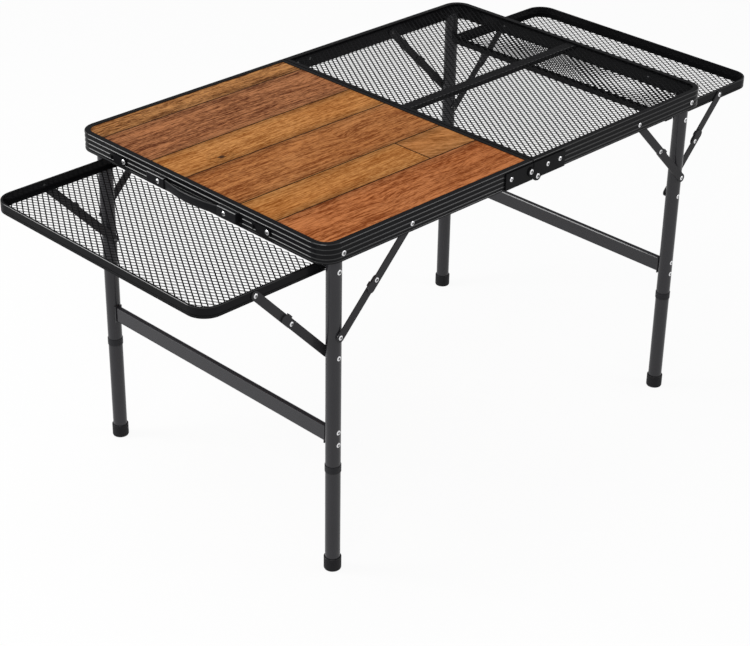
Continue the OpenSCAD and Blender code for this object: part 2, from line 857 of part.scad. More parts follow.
module shelf_brace_inner() {
    both_sides() translate([-shelf_anchor_x, 0, shelf_pivot_z]) rotate([0, shelf_brace_angle, 0])
        inner_strap(shelf_brace_near, shelf_inner_y + strap_t);
}

module shelf_knee_rivets() {
    knee_x = leg_x + shelf_brace_far * cos(shelf_brace_angle);
    knee_z = shelf_pivot_z - shelf_brace_on_leg + shelf_brace_far * sin(shelf_brace_angle);
    both_sides() union() {
        side_head(-knee_x, knee_z, shelf_outer_y + strap_t);
        side_pin(-knee_x, knee_z, shelf_outer_y + strap_t + 0.01, shelf_outer_y, shank_r);
    }
}

module left_brace_outer() {
    color(steel_black) leg_brace_outer();
}

module left_brace_inner() {
    color(steel_black) leg_brace_inner();
}

module left_knee_rivets() {
    color(zinc) leg_knee_rivets();
}

module right_brace_outer() {
    color(steel_black) right_end() leg_brace_outer();
}

module right_brace_inner() {
    color(steel_black) right_end() leg_brace_inner();
}

module right_knee_rivets() {
    color(zinc) right_end() leg_knee_rivets();
}

module left_shelf_brace_outer() {
    color(steel_black) shelf_brace_outer();
}

module left_shelf_brace_inner() {
    color(steel_black) shelf_brace_inner();
}

module left_shelf_knee_rivets() {
    color(zinc) shelf_knee_rivets();
}

module right_shelf_brace_outer() {
    color(steel_black) right_end() shelf_brace_outer();
}

module right_shelf_brace_inner() {
    color(steel_black) right_end() shelf_brace_inner();
}

module right_shelf_knee_rivets() {
    color(zinc) right_end() shelf_knee_rivets();
}

// Shelves: profile x is the distance from the outer face, y the height above the shelf's underside

module shelf_profile() {
    lip = 4;
    thin = 1.2;
    groove_z = 4.5;
    polygon([
        [0, 0.5], [0, groove_z], [-0.8, groove_z + 0.4], [-0.8, groove_z + 1.2], [0, groove_z + 1.6],
        [0, shelf_rail_h - 0.6], [-0.6, shelf_rail_h], [-lip, shelf_rail_h], [-lip, shelf_rail_h - thin],
        [-shelf_rail_t, shelf_rail_h - thin], [-shelf_rail_t, thin], [-shelf_ledge, thin],
        [-shelf_ledge, 0], [-0.5, 0]
    ]);
}

module shelf_frame() {
    straight = shelf_end_x - shelf_corner_r;
    across = shelf_half_w - shelf_corner_r;
    difference() {
        union() {
            both_sides() {
                translate([-straight, shelf_half_w, shelf_base_z]) rotate([90, 0, 90])
                    linear_extrude(straight - shelf_inner_end) shelf_profile();
                translate([-straight, across, shelf_base_z]) rotate([0, 0, 90])
                    rotate_extrude(angle = 90) translate([shelf_corner_r, 0]) shelf_profile();
            }
            translate([-shelf_end_x, -across, shelf_base_z]) rotate([90, 0, 180])
                linear_extrude(2 * across) shelf_profile();
        }
        both_sides() {
            side_pin(-leg_x, shelf_pivot_z, shelf_half_w + 1, shelf_wall_y - 1, pivot_r + fit);
            side_pin(-shelf_anchor_x, shelf_pivot_z, shelf_half_w + 1, shelf_wall_y - 1, shank_r + fit);
        }
    }
}

module shelf_inner_rail() {
    height = 9;
    side = shelf_wall_y;
    floor_z = shelf_base_z + 1.2;
    difference() {
        translate([-shelf_inner_x, -side, floor_z]) cube([inner_rail_w, 2 * side, height]);
        translate([-shelf_inner_x + 1.3, -side - 1, floor_z + 1.3])
            cube([inner_rail_w - 2.6, 2 * side + 2, height]);
        // leaves room for the shelf pivots' tails
        both_sides() translate([-leg_x - pivot_r - 2, -side - 1, floor_z + 2])
            cube([2 * pivot_r + 4, 3, height]);
    }
}

module shelf_mesh() {
    x_far = shelf_end_x - shelf_rail_t - 0.2;
    x_near = shelf_inner_x + 0.2;
    side = shelf_wall_y - 0.2;
    rim = shelf_ledge - shelf_rail_t;
    translate([0, 0, shelf_base_z + 1.2]) linear_extrude(mesh_t) difference() {
        half_outline(x_near, x_far, side, shelf_corner_r - shelf_rail_t - 0.2);
        diamond_gaps(-x_far + rim, -x_near - 3, rim - side, side - rim, 5, 11);
    }
}

module shelf_rivets() {
    both_sides() side_rivet(-shelf_anchor_x, shelf_pivot_z, shelf_inner_y + strap_t, shelf_wall_y);
}

module left_shelf_frame() {
    color(frame_black) shelf_frame();
}

module left_shelf_inner_rail() {
    color(frame_black) shelf_inner_rail();
}

module left_shelf_mesh() {
    color(mesh_black) shelf_mesh();
}

module left_shelf_rivets() {
    color(zinc) shelf_rivets();
}

module right_shelf_frame() {
    color(frame_black) right_end() shelf_frame();
}

module right_shelf_inner_rail() {
    color(frame_black) right_end() shelf_inner_rail();
}

module right_shelf_mesh() {
    color(mesh_black) right_end() shelf_mesh();
}

module right_shelf_rivets() {
    color(zinc) right_end() shelf_rivets();
}

wood_frame();
wood_seam_rail();
wood_deck();
wood_hinge_plates();
hinge_links();
hinge_pins();
wood_frame_rivets();
left_leg_pivots();
left_brace_anchors();
handle_blocks();
handle_strap();
leg_clips();
latch_front();
latch_back();
mesh_frame();
mesh_seam_rail();
mesh_deck();
mesh_stiffener();
mesh_hinge_plates();
mesh_frame_rivets();
right_leg_pivots();
right_brace_anchors();
latch_studs();
left_leg_tubes();
left_crossbar();
left_leg_collars();
left_leg_rivets();
right_leg_tubes();
right_crossbar();
right_leg_collars();
right_leg_rivets();
front_left_extension();
front_left_foot();
back_left_extension();
back_left_foot();
front_right_extension();
front_right_foot();
back_right_extension();
back_right_foot();
left_brace_outer();
left_brace_inner();
left_knee_rivets();
right_brace_outer();
right_brace_inner();
right_knee_rivets();
left_shelf_frame();
left_shelf_inner_rail();
left_shelf_mesh();
left_shelf_rivets();
left_shelf_brace_outer();
left_shelf_brace_inner();
left_shelf_knee_rivets();
right_shelf_frame();
right_shelf_inner_rail();
right_shelf_mesh();
right_shelf_rivets();
right_shelf_brace_outer();
right_shelf_brace_inner();
right_shelf_knee_rivets();
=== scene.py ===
# %% [markdown]
# # A folding camping table, dressed for the studio
# The table is a pair of half tops that close like a suitcase: one half is
# planked wood, the other is black expanded metal, and each end carries a small
# fold-out shelf of the same metal. The solid parts come from the CAD model and
# keep their place. This lesson gives each of them its real finish, rounds a few
# edges that catch the light, and replaces the three plain nets by real expanded
# metal with see-through diamonds.
#
# Blender works in metres here, in the same frame as the CAD: X runs along the
# table from the wood half to the metal half, Y runs across it, and the floor
# is at zero. Every piece is already in its place, so nothing is fitted by eye.

import json
import math

import bmesh
import bpy
from mathutils import Matrix, Vector

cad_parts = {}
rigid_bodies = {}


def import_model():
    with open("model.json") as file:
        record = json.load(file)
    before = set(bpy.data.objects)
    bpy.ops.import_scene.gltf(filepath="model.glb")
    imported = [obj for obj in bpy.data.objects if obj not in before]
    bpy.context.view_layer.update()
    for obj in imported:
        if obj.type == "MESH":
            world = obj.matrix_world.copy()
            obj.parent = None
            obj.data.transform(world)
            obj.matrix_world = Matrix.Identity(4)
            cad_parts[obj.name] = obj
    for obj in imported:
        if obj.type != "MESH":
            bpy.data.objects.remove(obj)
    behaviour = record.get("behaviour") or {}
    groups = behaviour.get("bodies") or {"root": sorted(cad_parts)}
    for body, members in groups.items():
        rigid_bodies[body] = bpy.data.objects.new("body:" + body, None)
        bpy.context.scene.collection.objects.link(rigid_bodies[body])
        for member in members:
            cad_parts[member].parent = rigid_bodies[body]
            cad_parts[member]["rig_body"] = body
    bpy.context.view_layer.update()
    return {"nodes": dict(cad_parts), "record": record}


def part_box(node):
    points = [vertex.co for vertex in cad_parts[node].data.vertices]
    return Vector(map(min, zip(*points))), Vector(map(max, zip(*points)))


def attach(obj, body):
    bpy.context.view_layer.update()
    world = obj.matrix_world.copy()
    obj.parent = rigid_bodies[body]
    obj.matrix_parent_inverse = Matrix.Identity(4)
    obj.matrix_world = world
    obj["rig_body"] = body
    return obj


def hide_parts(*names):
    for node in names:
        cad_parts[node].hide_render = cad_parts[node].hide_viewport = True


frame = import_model()
nodes = frame["nodes"]

# %% [markdown]
# ## Shader maths in plain Python
# A finish is a tree of nodes, and writing each Math node by hand hides the idea
# behind it. `Val` wraps one output socket, so that `0.2 + 0.5 * grain` adds the
# nodes itself. `Graph.node` makes every other kind of node: settings first,
# because they decide which sockets there are, then values or links.

# %% Val, one output socket
class Val:
    """One output socket; arithmetic on it adds Math nodes to its tree."""

    def __init__(self, graph, socket):
        self.graph = graph
        self.socket = socket

    def op(self, operation, first, second):
        return self.graph.node("ShaderNodeMath", {"operation": operation}, {0: first, 1: second})

    def __add__(self, other):
        return self.op("ADD", self, other)

    def __radd__(self, other):
        return self.op("ADD", other, self)

    def __sub__(self, other):
        return self.op("SUBTRACT", self, other)

    def __rsub__(self, other):
        return self.op("SUBTRACT", other, self)

    def __mul__(self, other):
        return self.op("MULTIPLY", self, other)

    def __rmul__(self, other):
        return self.op("MULTIPLY", other, self)

    def __truediv__(self, other):
        return self.op("DIVIDE", self, other)

    def __rtruediv__(self, other):
        return self.op("DIVIDE", other, self)

    def __lt__(self, other):
        return self.op("LESS_THAN", self, other)

    def __gt__(self, other):
        return self.op("GREATER_THAN", self, other)

    def __abs__(self):
        return self.op("ABSOLUTE", self, 0.0)

    def atleast(self, other):
        return self.op("MAXIMUM", self, other)

    def atmost(self, other):
        return self.op("MINIMUM", self, other)

    def ceil(self):
        return self.op("CEIL", self, 0.0)

    def root(self):
        return self.op("SQRT", self, 0.0)

    def slope_angle(self, run):
        """The angle of a slope that rises by this much over a run."""
        return self.op("ARCTAN2", self, run)

    def rise(self, start, end):
        """0 up to start, 1 from end on, and straight in between."""
        return ((self - start) / (end - start)).atleast(0.0).atmost(1.0)


# %% Graph, a node tree
class Graph:
    """A node tree, of a material or of Geometry Nodes."""

    def __init__(self, tree):
        self.tree = tree

    def node(self, kind, settings=None, sockets=None, out=0):
        made = self.tree.nodes.new(kind)
        for name, value in (settings or {}).items():
            if name == "stops":
                self.set_stops(made.color_ramp, value)
            elif name == "interpolation":
                made.color_ramp.interpolation = value
            else:
                setattr(made, name, value)
        for key, value in (sockets or {}).items():
            self.feed(made.inputs[key], value)
        return Val(self, made.outputs[out])

    def feed(self, socket, value):
        """Link one output, or a list of outputs, or set a plain value."""
        if isinstance(value, list):
            for one in value:
                self.feed(socket, one)
        elif isinstance(value, Val):
            self.tree.links.new(value.socket, socket)
        else:
            socket.default_value = value

    def set_stops(self, ramp, stops):
        while len(ramp.elements) < len(stops):
            ramp.elements.new(1.0)
        for element, (place, colour) in zip(ramp.elements, stops):
            element.position = place
            element.color = (*colour, 1.0)

    def axis(self, letter, vector):
        return self.node("ShaderNodeSeparateXYZ", {}, {0: vector}, out=letter)

    def vector(self, x, y, z):
        return self.node("ShaderNodeCombineXYZ", {}, {0: x, 1: y, 2: z})


# %% [markdown]
# ## Finishes
# Every finish is a Principled shader whose pattern is laid out on the piece's
# own Object coordinates. UV maps could do it too, but then every part would
# need one, and the scale would change from part to part. Object coordinates
# give one scale everywhere, and the pattern stays put when the table folds.
# `Finish` adds the few tools that the finishes share.

# %% Finish, a Graph with a Principled shader
class Finish(Graph):
    """A material with its Principled shader and its Object coordinates."""

    def __init__(self, name, colour, **constants):
        self.material = bpy.data.materials.new(name)
        self.material.use_nodes = True
        super().__init__(self.material.node_tree)
        self.shader = self.tree.nodes["Principled BSDF"]
        self.shader.inputs["Base Color"].default_value = (*colour, 1.0)
        for name, value in constants.items():
            self.shader.inputs[name.replace("_", " ")].default_value = value
        self.place = self.node("ShaderNodeTexCoord", out="Object")

    def facing(self, letter):
        """How far the surface looks along an axis of the object, from -1 to 1."""
        return self.axis(letter, self.node("ShaderNodeTexCoord", out="Normal"))

    def noise(self, vector, scale=1.0, detail=3.0, roughness=0.5):
        sockets = {"Vector": vector, "Scale": scale, "Detail": detail, "Roughness": roughness}
        return self.node("ShaderNodeTexNoise", {}, sockets)

    def ramp(self, value, stops, interpolation="LINEAR"):
        settings = {"stops": stops, "interpolation": interpolation}
        return self.node("ShaderNodeValToRGB", settings, {0: value})

    def mixed(self, factor, first, second, blend="MIX"):
        pair = []
        for colour in (first, second):
            pair.append(colour if isinstance(colour, Val) else (*colour, 1.0))
        settings = {"data_type": "RGBA", "blend_type": blend}
        return self.node("ShaderNodeMix", settings, {0: factor, 6: pair[0], 7: pair[1]}, out=2)

    def set(self, **inputs):
        for name, value in inputs.items():
            self.feed(self.shader.inputs[name.replace("_", " ")], value)

    def bump(self, height, depth, strength=1.0):
        sockets = {"Height": height, "Distance": depth, "Strength": strength}
        self.set(Normal=self.node("ShaderNodeBump", {}, sockets))


# %% Small helpers for colours and masks
def srgb(red, green, blue):
    """A colour as a painter writes it, 0 to 255, as the linear numbers of a shader.

    The numbers in it are those of the sRGB standard.
    """
    linear = []
    for part in (red, green, blue):
        value = part / 255.0
        linear.append(value / 12.92 if value <= 0.04045 else ((value + 0.055) / 1.055) ** 2.4)
    return tuple(linear)


def lightened(colour, times, plus):
    return tuple(times * part + plus for part in colour)


def between(low, high, mask):
    return low + (high - low) * mask


print("a painter's mid grey in a shader", [round(part, 3) for part in srgb(128, 128, 128)])

# %% [markdown]
# ### Black powder coat
# The rails, shelf rims and tubes are painted black. Powder coat flows into a
# very fine orange peel under a glossy skin, which is the shader's coat. Hands
# polish the ribs and arrises, which slope upward, so the skin is strongest
# there. Cups and bags rub the faces that look straight up until the skin is
# gone. The colour and roughness wander a little all over. One flat black would
# be simpler, but then rails, legs and braces would melt into one silhouette.

# %% The skin of the powder coat
# How far a face looks up, 0 sideways and 1 straight up, where each wear sets in.
POLISHED_FROM = 0.15
POLISHED_TO = 0.35
RUBBED_FROM = 0.93
RUBBED_TO = 0.99


def glossy_skin(finish, face_skin, edge_skin):
    """Gloss that is strongest on edges that slope upward, and rubbed off flat tops."""
    facing_up = finish.facing("Z")
    polished = facing_up.rise(POLISHED_FROM, POLISHED_TO)
    rubbed = facing_up.rise(RUBBED_FROM, RUBBED_TO)
    skin = between(face_skin, edge_skin, polished)
    finish.set(Coat_Weight=skin * (1.0 - rubbed))


# %% Powder-coated rails, tubes and straps
PAINT_CLOUD_SCALE = 9.0
PAINT_CLOUD_SHARE = 0.8
PEEL_SCALE = 700.0
PEEL_DEPTH = 0.00004
PEEL_STRENGTH = 0.5


def powder_coat(name, colour, roughness, face_skin, edge_skin):
    paint = Finish(name, colour, Specular_IOR_Level=0.01, Coat_Roughness=0.16)
    cloud = paint.noise(paint.place, PAINT_CLOUD_SCALE, detail=3.0)
    peel = paint.noise(paint.place, PEEL_SCALE, detail=2.0)
    lighter = lightened(colour, times=1.6, plus=0.002)
    paint.set(Roughness=between(*roughness, cloud))
    paint.set(Base_Color=paint.mixed(cloud * PAINT_CLOUD_SHARE, colour, lighter))
    glossy_skin(paint, face_skin, edge_skin)
    paint.bump(peel, PEEL_DEPTH, PEEL_STRENGTH)
    print(name, "skin", face_skin, "on faces,", edge_skin, "on edges")
    return paint.material


rail_black = powder_coat(
    "rail_black", (0.0048, 0.0048, 0.0054), roughness=(0.34, 0.46), face_skin=0.12, edge_skin=0.90
)
leg_black = powder_coat(
    "leg_black", (0.0185, 0.0180, 0.0205), roughness=(0.30, 0.42), face_skin=0.60, edge_skin=0.90
)
plate_black = powder_coat(
    "plate_black", (0.0050, 0.0050, 0.0056), roughness=(0.36, 0.50), face_skin=0.12, edge_skin=0.50
)
brace_grey = powder_coat(
    "brace_grey", (0.0250, 0.0245, 0.0262), roughness=(0.36, 0.50), face_skin=0.15, edge_skin=0.50
)
net_black = powder_coat(
    "net_black", (0.0040, 0.0040, 0.0045), roughness=(0.50, 0.65), face_skin=0.03, edge_skin=0.03
)

# %% [markdown]
# ### Zinc rivets
# Bright rivets are the only bare metal. They are tubular: the set end rolls
# out into a dome with a dark hollow in its middle. The dome is real. A hollow
# cut into each of the small heads would cost many faces for a few dots, so the
# hollow's shade is painted instead, as a dark grey where the surface looks
# along X or Y, which only a head's middle does.

# %% Rivets
BRUSH_SCALE = 500.0
BRUSH_DEPTH = 0.00002
ZINC_CLOUD_SCALE = 120.0
ZINC_ROUGHNESS = (0.16, 0.32)
DULL_ZINC = (0.58, 0.58, 0.59)
BRIGHT_ZINC = (0.84, 0.84, 0.85)
# How straight a face looks along X or Y, where the painted shade of the hollow starts and is full.
HOLLOW_SHADE_FROM = 0.950
HOLLOW_SHADE_TO = 0.968
# Painted shade: the dark grey that stands in for the shade inside each head's hollow, and how much of
# it is laid on.
HOLLOW_SHADE_GREY = (0.03, 0.03, 0.03)
HOLLOW_SHADE_SHARE = 0.92


def zinc():
    metal = Finish("rivet_zinc", (0.70, 0.70, 0.71), Metallic=1.0)
    brushed = metal.noise(metal.place, BRUSH_SCALE, detail=3.0)
    cloud = metal.noise(metal.place, ZINC_CLOUD_SCALE, detail=2.0)
    metal.set(Roughness=between(*ZINC_ROUGHNESS, cloud))
    straight = abs(metal.facing("X")).atleast(abs(metal.facing("Y")))
    # Painted shade: the middle of each head is darkened where its hollow would lie in shade.
    hollow_shade = straight.rise(HOLLOW_SHADE_FROM, HOLLOW_SHADE_TO)
    bright = metal.mixed(cloud, DULL_ZINC, BRIGHT_ZINC)
    metal.set(Base_Color=metal.mixed(hollow_shade * HOLLOW_SHADE_SHARE, bright, HOLLOW_SHADE_GREY))
    metal.bump(brushed, BRUSH_DEPTH)
    return metal.material


rivet_zinc = zinc()
print(rivet_zinc.name, "is ready")

# %% [markdown]
# ### Black plastic and rubber
# The handle, its blocks and the clips are moulded plastic with a fine grain.
# The collars, in a lighter and duller plastic, nearly vanish between the tubes.
# The feet are rubber, duller again and with a coarser, deeper grain. All
# three come from one recipe, because only their numbers differ.

# %% Plastic and rubber
PLASTIC_CLOUD_SCALE = 30.0
PLASTIC_CLOUD_SHARE = 0.7


def moulded(name, colour, roughness, grain_scale, grain_depth, edge_skin):
    plastic = Finish(name, colour, Specular_IOR_Level=0.10, Coat_Roughness=0.20)
    grain = plastic.noise(plastic.place, grain_scale, detail=3.0)
    cloud = plastic.noise(plastic.place, PLASTIC_CLOUD_SCALE, detail=2.0)
    worn = lightened(colour, times=1.5, plus=0.003)
    plastic.set(Roughness=between(*roughness, cloud))
    plastic.set(Base_Color=plastic.mixed(cloud * PLASTIC_CLOUD_SHARE, colour, worn))
    glossy_skin(plastic, 0.0, edge_skin)
    plastic.bump(grain, grain_depth)
    print(name, "grain", round(1000.0 / grain_scale, 2), "mm")
    return plastic.material


plastic_black = moulded(
    "plastic_black",
    (0.006, 0.006, 0.007),
    roughness=(0.26, 0.40),
    grain_scale=1400.0,
    grain_depth=0.00004,
    edge_skin=0.90,
)
rubber_black = moulded(
    "rubber_black",
    (0.010, 0.010, 0.011),
    roughness=(0.52, 0.70),
    grain_scale=900.0,
    grain_depth=0.00010,
    edge_skin=0.10,
)
collar_grey = moulded(
    "collar_grey",
    (0.016, 0.016, 0.018),
    roughness=(0.40, 0.55),
    grain_scale=1400.0,
    grain_depth=0.00004,
    edge_skin=0.30,
)

# %% [markdown]
# ### Planked wood top
# The wooden half is a sheet printed as planks in several stains, with a groove
# at each plank's edge. Two ramps over Y give each plank its dark and its light
# tone, and a third one its own place in the grain, so no two planks share a
# figure. A picture of wood would fix its size and its marks, so the grain is
# worked out: one number from 0 to 1 slides between the two tones. It adds up
# broad bands, streaks and short flecks, all of them noise drawn out along X and
# made to wander across it, and a softer mottle.

# %% Where the planks lie
HALF_WIDTH_Y = 0.300
PLANK_EDGES = [-0.1805, -0.0984, 0.0312, 0.1177, 0.2426]
BUTT_JOINT_X = -0.114
JOINT_HALF = 0.0013


def over_width(y):
    """Where a place lies on a ramp that runs over the width of the table."""
    return (y + HALF_WIDTH_Y) / (2.0 * HALF_WIDTH_Y)


def plank_ramp(wood, across, values):
    places = [0.0] + [over_width(edge) for edge in PLANK_EDGES]
    return wood.ramp(across, list(zip(places, values)), "CONSTANT")


print("planks", len(PLANK_EDGES) + 1)

# %% The planks' stains
class Plank:
    """A plank's dark and light tone, and its place in the grain."""

    def __init__(self, dark, light, place):
        self.dark = srgb(*dark)
        self.light = srgb(*light)
        self.place = (place, place, place)


REDWOOD = Plank(dark=(116, 56, 20), light=(188, 118, 70), place=0.10)
HONEY = Plank(dark=(132, 74, 26), light=(194, 134, 74), place=0.25)
CHESTNUT = Plank(dark=(110, 56, 22), light=(184, 122, 70), place=0.45)
KNOTTED_HONEY = Plank(dark=(128, 72, 26), light=(198, 138, 78), place=0.60)
RUSSET = Plank(dark=(84, 42, 22), light=(178, 118, 76), place=0.75)
AMBER = Plank(dark=(88, 48, 20), light=(190, 134, 80), place=0.90)
PLANKS = [REDWOOD, HONEY, CHESTNUT, KNOTTED_HONEY, RUSSET, AMBER]
BOARD_BEHIND_BUTT = Plank(dark=(126, 76, 32), light=(192, 132, 78), place=0.30)
print("first plank, dark", [round(part, 3) for part in REDWOOD.dark])

# %% Layers of grain
class Layer:
    """Noise drawn out along X: marks per metre both ways, and how much they count."""

    def __init__(self, along, across, detail, roughness, weight):
        self.along = along
        self.across = across
        self.detail = detail
        self.roughness = roughness
        self.weight = weight

    def noise(self, wood, x, y, own):
        place = wood.vector(x * self.along + own, y * self.across, own)
        return wood.noise(place, 1.0, self.detail, self.roughness)


SWAY = Layer(along=7.0, across=22.0, detail=2.0, roughness=0.50, weight=0.012)
BANDS = Layer(along=3.5, across=70.0, detail=3.0, roughness=0.55, weight=1.1)
STREAKS = Layer(along=16.0, across=330.0, detail=4.0, roughness=0.62, weight=2.9)
FLECKS = Layer(along=90.0, across=560.0, detail=2.0, roughness=0.60, weight=2.6)
MOTTLE = Layer(along=12.0, across=26.0, detail=3.0, roughness=0.50, weight=0.8)
TINT = Layer(along=5.0, across=14.0, detail=2.0, roughness=0.50, weight=0.45)
print("a streak is about", round(1000.0 / STREAKS.across, 1), "mm wide")

# %% Grain that flows round burls and the knot
KNOT = (-0.357, 0.0523)
KNOT_BEND = 0.009
KNOT_BEND_REACH = (0.022, 0.010)
# Each burl's middle, along and across, and its reach along the grain.
BURLS = [(-0.160, -0.024, 0.022), (-0.279, -0.240, 0.024), (-0.052, 0.189, 0.026)]
BURL_BEND = 0.012
BURL_FLATTENED = 0.5
# How far the board behind the butt joint turns its grain aside.
DIAGONAL_RUN = 0.30
DIAGONAL_CUT = 0.55


def closeness(along, y, middle, reach):
    """1 at a knot's middle, falling off smoothly round it."""
    far_x = (along - middle[0]) / reach[0]
    far_y = (y - middle[1]) / reach[1]
    return 1.0 / (1.0 + far_x * far_x + far_y * far_y)


def plank_grain(wood, along, y, own, diagonal):
    """A number from 0, dark, to 1, light. A diagonal of 1 turns the grain aside."""
    bent = y + SWAY.weight * SWAY.noise(wood, along, y, own)
    for x, middle, reach in BURLS:
        near_burl = closeness(along, y, (x, middle), (reach, BURL_FLATTENED * reach))
        bent = bent + BURL_BEND * near_burl
    bent = bent + KNOT_BEND * closeness(along, y, KNOT, KNOT_BEND_REACH)
    run = along + diagonal * (y * -1.0 - along * DIAGONAL_RUN)
    cut = bent + diagonal * (along * DIAGONAL_CUT)
    grain = 0.5 + BANDS.weight * (BANDS.noise(wood, run, cut, own) - 0.5)
    grain = grain + STREAKS.weight * (STREAKS.noise(wood, run, cut, own) - 0.5)
    grain = grain + FLECKS.weight * (FLECKS.noise(wood, run, cut, own) - 0.5)
    grain = grain + MOTTLE.weight * (MOTTLE.noise(wood, along, y, own) - 0.5)
    return grain.atleast(0.0).atmost(1.0)


print("burls", len(BURLS))

# %% Stains and smoke over the grain
TINT_MASK = [(0.40, (0, 0, 0)), (0.66, (1, 1, 1))]
TINT_COLOUR = (1.0, 0.88, 0.74)
SMOKED_WIDTH = 0.022
SMOKED_COLOUR = (0.42, 0.46, 0.50)


def stained(wood, along, y, own, grained):
    """Warmer clouds all over, and a greyer tone towards the planks' edges."""
    tint = TINT.noise(wood, along, y, own)
    tint_mask = wood.ramp(tint, TINT_MASK)
    tinted = wood.mixed(tint_mask * TINT.weight, grained, TINT_COLOUR, "MULTIPLY")
    smoked = 0.0 * y
    for edge in PLANK_EDGES:
        smoked = smoked.atleast(1.0 - abs(y - edge) / SMOKED_WIDTH)
    return wood.mixed(smoked * tint, tinted, SMOKED_COLOUR, "MULTIPLY")


print("smoked", round(2000.0 * SMOKED_WIDTH), "mm across each plank edge")

# %% The knot
KNOT_BROWN = (0.034, 0.014, 0.006)
KNOT_SHADE = (0.50, 0.46, 0.36)
KNOT_RINGS = [
    (0.20, (0, 0, 0)),
    (0.32, (0.9, 0.9, 0.9)),
    (0.44, (0.1, 0.1, 0.1)),
    (0.58, (0.9, 0.9, 0.9)),
    (0.72, (0.3, 0.3, 0.3)),
]
RAGGED_MARKS = (160.0, 300.0)
RING_REACH = (0.0150, 0.0110)
RING_RAGGED = 0.5
RING_SHARE = 0.7
CORE_REACH = (0.0075, 0.0050)
CORE_RAGGED = 0.9
CORE_MASK = [(0.42, (0, 0, 0)), (0.66, (1, 1, 1))]
CORE_SHARE = 0.95


def with_knot(wood, along, y, colour):
    """Ragged rings and a dark core, drawn over the plank."""
    marks = wood.vector(along * RAGGED_MARKS[0], y * RAGGED_MARKS[1], 0.0)
    ragged = wood.noise(marks, 1.0, detail=3.0)
    around = closeness(along, y, KNOT, RING_REACH) + RING_RAGGED * (ragged - 0.5)
    ring = wood.ramp(around, KNOT_RINGS)
    ringed = wood.mixed(ring * RING_SHARE, colour, KNOT_SHADE, "MULTIPLY")
    core = closeness(along, y, KNOT, CORE_REACH) + CORE_RAGGED * (ragged - 0.5)
    core_mask = wood.ramp(core, CORE_MASK)
    return wood.mixed(core_mask * CORE_SHARE, ringed, KNOT_BROWN)


print("knot at", KNOT)

# %% The plank finish
SEAM_BROWN = (0.020, 0.009, 0.005)
SEAM_SHARE = 0.93
DULL_GRAIN = 0.62
GRAIN_GLOSS = 0.14
WOOD_RELIEF = 0.0003
WOOD_RELIEF_STRENGTH = 0.4
# How far planks and boards lie apart in the noise, so that none looks like another.
PLANK_SHIFT = 23.0
BOARD_SHIFT = 3.1


def plank_wood():
    wood = Finish("plank_wood", HONEY.light, Specular_IOR_Level=0.02)
    along = wood.axis("X", wood.place)
    y = wood.axis("Y", wood.place)
    across = over_width(y)
    dark = plank_ramp(wood, across, [plank.dark for plank in PLANKS])
    light = plank_ramp(wood, across, [plank.light for plank in PLANKS])
    place = plank_ramp(wood, across, [plank.place for plank in PLANKS])

    in_butt_row = (y > PLANK_EDGES[0]) * (y < PLANK_EDGES[1])
    second_board = (along > BUTT_JOINT_X) * in_butt_row
    dark = wood.mixed(second_board, dark, BOARD_BEHIND_BUTT.dark)
    light = wood.mixed(second_board, light, BOARD_BEHIND_BUTT.light)
    own = PLANK_SHIFT * place + BOARD_SHIFT * second_board
    grain = plank_grain(wood, along, y, own, second_board)
    grained = wood.mixed(grain, dark, light)
    knotted = with_knot(wood, along, y, stained(wood, along, y, own, grained))

    joint = (abs(along - BUTT_JOINT_X) < JOINT_HALF) * in_butt_row
    for edge in PLANK_EDGES:
        joint = joint.atleast(abs(y - edge) < JOINT_HALF)
    wood.set(Base_Color=wood.mixed(joint * SEAM_SHARE, knotted, SEAM_BROWN))
    wood.set(Roughness=DULL_GRAIN - GRAIN_GLOSS * grain)
    wood.bump(grain - joint, WOOD_RELIEF, WOOD_RELIEF_STRENGTH)
    return wood.material


plank_top = plank_wood()
print(plank_top.name, "has", len(plank_top.node_tree.nodes), "nodes")

# %% [markdown]
# ## A finish for every slot
# The record names a material slot for every node. One table from slot to
# finish is enough, because each piece of the CAD has a single finish. Only the
# folding braces and the collars leave their slot's finish for a lighter one.

# %% Which finish a node gets
FINISH_OF_SLOT = {
    "frame": rail_black,
    "wood": plank_top,
    "mesh": net_black,
    "leg": leg_black,
    "steel": plate_black,
    "rivet": rivet_zinc,
    "plastic": plastic_black,
    "rubber": rubber_black,
}
SLOT_OF = {part["node"]: part["material_slot"] for part in frame["record"]["subparts"]}


def finish_of(name):
    """The finish of a node's slot, or the lighter one of a brace or a collar."""
    if "collars" in name:
        return collar_grey
    if SLOT_OF[name] == "steel" and "brace" in name:
        return brace_grey
    return FINISH_OF_SLOT[SLOT_OF[name]]


print("slots", sorted(set(SLOT_OF.values())))

# %% [markdown]
# ## Ease the sharp edges
# No pressed or moulded part has a razor edge, and the thin bright line along
# the top of the handle and of the cross tubes is light on a rounded edge. The
# CAD keeps these edges sharp, so a copy of each mesh is merged, its flat faces
# are joined again, and the long outer edges that are still sharp are rounded.
# A Bevel modifier would do it in one step, but it shrinks to nothing at the
# first short edge, so the edges are picked in code. Rims of rivet holes and the
# ends of thin walls are shorter and stay as they are.

# %% Copies with eased edges
MERGE_WITHIN = 0.00001
FLAT_WITHIN = math.radians(0.6)
SHARP_FROM = math.radians(50.0)
FACES_IN_ROUND = 2


def is_sharp(edge, shortest):
    if not (edge.is_manifold and edge.is_convex):
        return False
    return edge.calc_face_angle() > SHARP_FROM and edge.calc_length() > shortest


